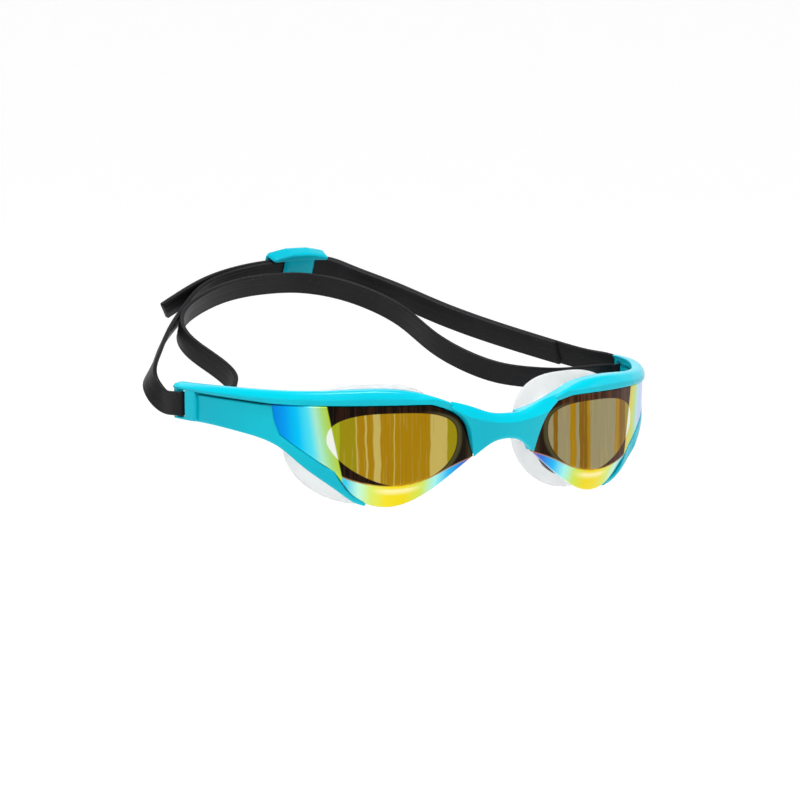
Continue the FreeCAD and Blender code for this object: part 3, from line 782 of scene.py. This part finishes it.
sealShape = {
    "tilt": 14.0,
    "halfWidth": 25.3,
    "halfHeight": 19.0,
    "noseSet": 2.6,              # the lip's nose end lies this far outside the lens corner
    "lipSet": 2.5,               # middle of the lip in front of the face plane
    "wall": 1.1,
    "roll": 0.55,                # half thickness of the rolled lip
    "noseFull": 3.0,             # powers of the rings' quarters
    "outerFull": 2.3,
    "lowerFull": 1.85,
    "startShare": 0.53,          # where the seal leaves the eyecup
    "startDrop": 0.45,
    "startInset": 6.8,
    "startHeadings": (-2, 36),   # of the lens front, at the nose and at the crease
    "startTurn": 4.0,
    "startWidth": 19.4,
    "startHeight": 12.9,
    "swell": (1.1, 1.6),         # extra half width and half height midway
}

cupShape = {
    "flange": (25.8, -0.2),      # centres along the plan line and in height
    "eye": (25.4, 0.4),
    "flangePower": 2.4,
    "eyePower": 2.3,
    "flangeRings": [(19.8, 12.8, 4.5), (20.1, 13.1, 4.9), (20.1, 13.1, 6.1), (19.7, 12.7, 6.5)],
    "eyeRings": [(18.4, 8.6, 6.5), (17.8, 8.0, 6.1), (17.7, 7.7, 2.2), (18.0, 8.0, 1.95),
                 (18.8, 8.8, 1.95), (19.1, 9.1, 2.3), (19.1, 9.1, 4.5)],
}


def superellipse(power):
    # cosine and sine raised to 2 / power, signs kept: the higher the power, the squarer the ring
    across, rise = np.cos(roundTurn), np.sin(roundTurn)
    return np.sign(across) * np.abs(across) ** (2 / power), np.sign(rise) * np.abs(rise) ** (2 / power)


def ovalRing(loops):
    # rings joined in order: each is (centre, half width, half height, turn);
    # they are full above towards the nose and flatter below
    upper = np.where(np.cos(roundTurn) < 0, sealShape["noseFull"], sealShape["outerFull"])
    across, rise = superellipse(np.where(np.sin(roundTurn) > 0, upper, sealShape["lowerFull"]))
    rows = []
    for centre, wide, tall, angle in loops:
        c, s = math.cos(math.radians(angle)), math.sin(math.radians(angle))
        rows.append(np.stack([centre[0] + across * wide * c, centre[1] + across * wide * s,
                              centre[2] + rise * tall], -1))
    return turnedRing(np.stack(rows))


def buildSeal(name, side):
    shape = sealShape
    noseEnd = goggles["noseGap"] / 2 + shape["noseSet"]
    lip = np.array([noseEnd + shape["halfWidth"], -shape["lipSet"], 0.0])
    tilt = math.radians(shape["tilt"])
    back = np.array([-math.sin(tilt), math.cos(tilt), 0])
    along, height = station(shape["startShare"], shape["startDrop"])
    start = onPlan(np.array(along), np.array(shape["startInset"]), np.array(height))
    frontTurn = np.interp(along, [0, goggles["crease"]], shape["startHeadings"]) + shape["startTurn"]
    wideSwell, tallSwell = shape["swell"]

    def between(share, inset):
        # from the narrow front to the flared lip, fuller midway by half a sine wave
        flare = share ** 1.25
        swell = math.sin(math.pi * share)
        wide = shape["startWidth"] * (1 - flare) + shape["halfWidth"] * flare + wideSwell * swell
        tall = shape["startHeight"] * (1 - flare) + shape["halfHeight"] * flare + tallSwell * swell
        turn = frontTurn + (shape["tilt"] - frontTurn) * share
        return start * (1 - share) + lip * share, wide - inset, tall - inset, turn

    loops = [between(share, 0) for share in np.linspace(0, 1, 14)]
    rolled = []
    for turn in np.radians(np.linspace(0, 180, 9))[1:-1]:
        inset = shape["wall"] * (1 - math.cos(turn)) / 2
        centre = lip + back * (shape["roll"] * math.sin(turn))
        rolled.append((centre, shape["halfWidth"] - inset, shape["halfHeight"] - inset, shape["tilt"]))
    inside = [between(share, shape["wall"]) for share in np.linspace(1, 0, 14)]
    form = ovalRing(loops + rolled + inside)
    return makePiece(name + "_seal", [form], sealSilicone, "front", [name + "_seal"],
                     side)


def buildCup(name, side):
    # a flange behind the lens with a rounded eye hole, and a short wall up to the lens
    shape = cupShape

    def rings(rows, power, centre):
        across, rise = superellipse(power)
        return [onPlan(across * wide + centre[0], inset + 0 * rise, rise * tall + centre[1])
                for wide, tall, inset in rows]

    form = turnedRing(np.stack(rings(shape["flangeRings"], shape["flangePower"], shape["flange"])
                               + rings(shape["eyeRings"], shape["eyePower"], shape["eye"])))
    return makePiece(name + "_eyecup", [form], cupPlastic, "front", [name + "_eyecup"],
                     side)


for name, side in (("left", 1), ("right", -1)):
    buildLens(name, side)
    buildFrame(name, side)
    buildCup(name, side)
    buildSeal(name, side)
buildBridge()
print("eyepieces and bridge built")


# ---- strap

strapShape = {
    "width": 7.6,
    "thickness": 1.4,
    "tilt": 23.5,                # the loop climbs backwards
    "layer": 0.78,               # from the middle to each layer inside the buckle
    "edge": 0.35,                # rounding of the cut ends
    "radius": 0.4,
    "grooves": (-2.5, 0.0, 2.5),
    "grooveWidth": 0.2,
    "grooveDepth": 0.05,
    "cutReach": 6.0,             # a slanted cut is spread over this length
    "innerCut": -0.53,
    "outerCut": -0.85,
    "loops": 420,                # rows along each layer
    # places on the loop: (x, y back from the slots, lift, lean of the width in degrees)
    "innerRun": [(-88.2, 12.6, -1.2, 12), (-81.8, 27, 0, 16), (-72, 42, 0, 16), (-59, 58, 0, 10),
                 (-43.5, 73.2, 0, 3), (-28, 80.7), (-14, 84.4)],
    "outerRun": [(-64, 58.3, 0.6), (-55.5, 64.8, 0.6), (-43, 73.7, 0.3), (-28.7, 80.6, 0.1), (-14, 84.5)],
    "rear": [(0, 86), (9.5, 85.2), (14.5, 79.5), (25, 66), (36, 49.5), (51, 32)],
    "innerTail": [(66.5, 17.5)],
    "outerTemple": [(65, 18.5), (76, 11, -0.4), (83, 6.2, -0.5)],
    "lowerRun": [(-68, 2.5, -1.5), (-60.8, 8.5, -0.6), (-60.6, 18), (-63.0, 27), (-64.9, 35), (-64.2, 45),
                 (-58.7, 54.8), (-47.8, 64.3), (-33, 72.2), (-17.6, 75.5), (-5, 75), (7, 69.3), (15, 60.5),
                 (20.3, 49), (23.2, 29.5), (28.6, 15.8), (36.8, 6.6), (46.2, 2.6), (58, 0.6), (70, 1.2)],
    # places by the slots: (side, along from the slot, inset, lift, pitch of the width in degrees)
    "rightWrap": [(-1, -0.65, 5.5), (-1, -0.8, 2.2), (-1, -0.3, -0.7), (-1, 2.4, -1.75),
                  (-1, 8.0, -2.2, 0.3, 4)],
    "leftWrap": [(1, 4.4, -1.75, 0.2, 12), (1, 2.0, -1.7), (1, 0.7, -0.5), (1, 0.75, 2.2), (1, 0.8, 5.0)],
    "lowerRight": [(-1, 0.1, 4.4), (-1, 0.4, 7.5)],
    "lowerLeft": [(1, 0.2, 4.4)],
}
slotSide = onPlan(np.array(goggles["slotPlace"]), np.array(1.3), np.array(goggles["slotHeight"]))


def loopPoints(name):
    # places on the loop's tilted plane, each with the way the strap's width points there
    tilt = math.radians(strapShape["tilt"])
    points = []
    for x, y, *more in strapShape[name]:
        lift, lean = (more + [0, 0])[:2]
        lean = math.radians(lean)
        points.append([x, slotSide[1] + y * math.cos(tilt) - lift * math.sin(tilt),
                       goggles["slotHeight"] + y * math.sin(tilt) + lift * math.cos(tilt),
                       math.sin(lean), -math.sin(tilt) * math.cos(lean), math.cos(tilt) * math.cos(lean)])
    return points


def templePoints(name):
    points = []
    for side, along, inset, *more in strapShape[name]:
        lift, pitch = (more + [0, 0])[:2]
        pitch = math.radians(pitch)
        place = onPlan(np.array(goggles["slotPlace"] + along), np.array(inset),
                       np.array(goggles["slotHeight"] + lift))
        points.append([side * place[0], place[1], place[2], 0, -math.sin(pitch), math.cos(pitch)])
    return points


def band(points, shift=0.0, cutStart=0.0, cutEnd=0.0):
    # the strap's section carried along a smooth path, square to it, with shallow lengthwise grooves;
    # a cut end is slanted by its slope
    shape = strapShape
    curve = spline(points, shape["loops"])
    path, width = curve[:, :3], curve[:, 3:]
    along = np.gradient(path, axis=0)
    along /= np.linalg.norm(along, axis=1)[:, None]
    width = width - (width * along).sum(1)[:, None] * along
    width /= np.linalg.norm(width, axis=1)[:, None]
    outward = np.cross(along, width)
    path = path + outward * shift
    travel = np.concatenate([[0], np.cumsum(np.linalg.norm(np.diff(path, axis=0), axis=1))])
    shrink = np.zeros(shape["loops"])
    edge = shape["edge"]
    for away in (travel, travel[-1] - travel):
        into = np.clip(edge - away, 0, edge)
        shrink += edge - np.sqrt(edge ** 2 - into ** 2)
    a, b = roundedLoop(shape["width"] / 2 - shrink, shape["thickness"] / 2 - shrink, shape["radius"],
                       arcSteps=4, flatA=30, flatB=2)
    grooves = sum(np.exp(-((a - place) / shape["grooveWidth"]) ** 2) for place in shape["grooves"])
    b = b - np.sign(b) * shape["grooveDepth"] * grooves * (np.abs(b) > 0.5)
    near = np.clip(1 - travel / shape["cutReach"], 0, 1)[:, None]
    far = np.clip(1 - (travel[-1] - travel) / shape["cutReach"], 0, 1)[:, None]
    slide = a * (near * cutStart + far * cutEnd)
    points = path[:, None] + width[:, None] * a[..., None] + outward[:, None] * b[..., None] \
        + along[:, None] * slide[..., None]
    return tube(points), np.concatenate([(a / shape["width"] + 0.5).ravel(), [0.5, 0.5]])


def buildStrap():
    # each layer goes from the wearer's right temple side to the left one; the lower band goes round below
    shape = strapShape
    rear = loopPoints("rear")
    inner = templePoints("rightWrap") + loopPoints("innerRun") + rear + loopPoints("innerTail")
    outer = loopPoints("outerRun") + rear + loopPoints("outerTemple") + templePoints("leftWrap")
    lower = templePoints("lowerRight") + loopPoints("lowerRun") + templePoints("lowerLeft")
    bands = [band(inner, shape["layer"], 0, shape["innerCut"]),
             band(outer, -shape["layer"], shape["outerCut"], 0), band(lower)]
    forms, breadth = zip(*bands)
    return makePiece("strap", forms, strapSilicone, "strap", ["strap"],
                     fields={"breadth": np.concatenate(breadth)})


# ---- buckle

buckleShape = {
    "radius": 94.4,
    "middle": -2.7,              # along the loop from its rearmost point
    "halfLength": 11.0,
    "halfHeight": 4.1,
    "rail": 1.7,
    "room": 1.75,
    "wall": 1.2,
    "peak": 1.5,
    "topRail": 0.75,             # share of the rail's height that the top rail keeps at its ends
    "post": 2.2,
    "plate": (-6.1, 5.7),
    "setOut": 1.4,               # the bend's middle line lies this far outside its radius
    "bendBack": 86.0,            # rearmost place of the loop
}


def bucklePlace(p, inset, q):
    # p runs round the rear bend to the wearer's left, q up the strap's width, inset towards the head
    shape = buckleShape
    turn = (p + shape["middle"]) / shape["radius"]
    radius = shape["radius"] + shape["setOut"] - inset
    x = radius * np.sin(turn)
    y = shape["bendBack"] - shape["radius"] - shape["setOut"] + radius * np.cos(turn)
    tilt = math.radians(strapShape["tilt"])
    return np.stack([x, slotSide[1] + y * math.cos(tilt) - q * math.sin(tilt),
                     goggles["slotHeight"] + y * math.sin(tilt) + q * math.cos(tilt)], -1)


def buildBuckle():
    # a peaked top rail, a straight lower rail, two end posts behind and a broad middle plate in front
    shape = buckleShape
    length, height, rail = shape["halfLength"], shape["halfHeight"], shape["rail"]
    inner, outer = shape["room"], shape["room"] + shape["wall"]
    at = np.linspace(-length, length, 60)
    flat = 0 * at
    peak = shape["peak"] * np.clip((1 - np.abs(at) / length) * 1.5, 0, 1) ** 0.8

    def level(top, foot, radius):
        return ruledBar(np.stack([at, top], -1), np.stack([at, foot], -1), -outer, outer, radius,
                        bucklePlace, endRound=(1.2, 1.2), arcSteps=6)

    def upright(begin, end, nearInset, farInset):
        span = polyline([(begin, height + 0.6), (end, height + 0.6)], 16)
        return ruledBar(span, span * [1, -1], nearInset, farInset, 0.45, bucklePlace,
                        endRound=(0.5, 0.5), flatA=12)

    forms = [level(height + rail * shape["topRail"] + peak, height + flat, 0.9),
             level(-height + flat, -height - rail + flat, 0.8),
             upright(-length, -length + shape["post"], -outer, -inner),
             upright(length - shape["post"], length, -outer, -inner),
             upright(*shape["plate"], inner, outer)]
    return makePiece("buckle", forms, buckleTurquoise, "buckle", ["buckle"])


buildStrap()
buildBuckle()
print("strap and buckle built")


# ---- studio

studio = {
    "centre": (-0.03934, -0.030, 0.01677),
    "turn": 29.0,
    "rise": 7.0,
    "distance": 0.9,
    "lens": 133.65,
    "floorDrop": 0.35,
    "floorReach": 3.0,
    "floorRise": 2.2,
    "glow": 0.65,
    "ambient": 0.15,
    # name, place, size and power
    "boxes": [("topBox", (-0.1, -0.15, 1.1), (0.6, 0.4), 17.0),
              ("keyBox", (-1.0, -0.9, 0.7), (0.4, 0.8), 2.2),
              ("fillBox", (1.1, -0.6, 0.4), (0.5, 0.7), 1.2),
              ("rearBox", (0.2, 1.2, 0.7), (1.0, 0.7), 1.5)],
}


def buildStudio():
    # a pale floor that rises into a wide bowl: its height grows with the fourth power of the reach
    reach = np.linspace(0.0, 1.0, 40)[1:]
    turn = np.linspace(0, 2 * math.pi, 96, endpoint=False)
    radius = studio["floorReach"] * reach
    height = -studio["floorDrop"] + studio["floorRise"] * reach ** 4
    x = radius[:, None] * np.cos(turn)
    y = radius[:, None] * np.sin(turn)
    points = np.stack([x, y, np.broadcast_to(height[:, None], x.shape)], -1)
    flat = np.concatenate([points.reshape(-1, 3), [[0, 0, -studio["floorDrop"]]]])
    faces = tubeFaces(len(reach), len(turn)).tolist()
    around = np.arange(len(turn))
    faces += np.stack([around * 0 + len(flat) - 1, (around + 1) % len(turn), around], -1).tolist()
    mesh = bpy.data.meshes.new("studioFloor")
    mesh.from_pydata(flat.tolist(), [], [face[::-1] for face in faces])
    mesh.polygons.foreach_set("use_smooth", np.ones(len(mesh.polygons), bool))
    floor = bpy.data.objects.new("studioFloor", mesh)
    bpy.context.scene.collection.objects.link(floor)
    material, _, shader = newMaterial("paleFloor", Roughness=0.8)
    shader.inputs["Base Color"].default_value = (0.5, 0.5, 0.5, 1)
    shader.inputs["Emission Color"].default_value = (1, 1, 1, 1)
    shader.inputs["Emission Strength"].default_value = studio["glow"]
    mesh.materials.append(material)


def aim(item, place, target):
    item.location = place
    item.rotation_euler = (Vector(target) - Vector(place)).to_track_quat("-Z", "Y").to_euler()


def addSoftbox(name, place, size, power):
    light = bpy.data.lights.new(name, "AREA")
    light.shape = "RECTANGLE"
    light.size, light.size_y = size
    light.energy = power
    item = bpy.data.objects.new(name, light)
    bpy.context.scene.collection.objects.link(item)
    aim(item, place, (0, 0, 0))


def buildCamera():
    turn, rise = math.radians(studio["turn"]), math.radians(studio["rise"])
    away = np.array([-math.sin(turn) * math.cos(rise), -math.cos(turn) * math.cos(rise), math.sin(rise)])
    centre = np.array(studio["centre"])
    camera = bpy.data.cameras.new("camera")
    camera.lens = studio["lens"]
    camera.sensor_width = 36
    camera.clip_start, camera.clip_end = 0.01, 30
    item = bpy.data.objects.new("camera", camera)
    bpy.context.scene.collection.objects.link(item)
    aim(item, tuple(centre + away * studio["distance"]), tuple(centre))
    bpy.context.scene.camera = item


buildStudio()
for box in studio["boxes"]:
    addSoftbox(*box)
world = bpy.data.worlds.new("studioWorld")
world.use_nodes = True
world.node_tree.nodes["Background"].inputs["Color"].default_value = (1, 1, 1, 1)
world.node_tree.nodes["Background"].inputs["Strength"].default_value = studio["ambient"]
bpy.context.scene.world = world
bpy.context.scene.view_settings.view_transform = "Standard"
buildCamera()
print("studio set")
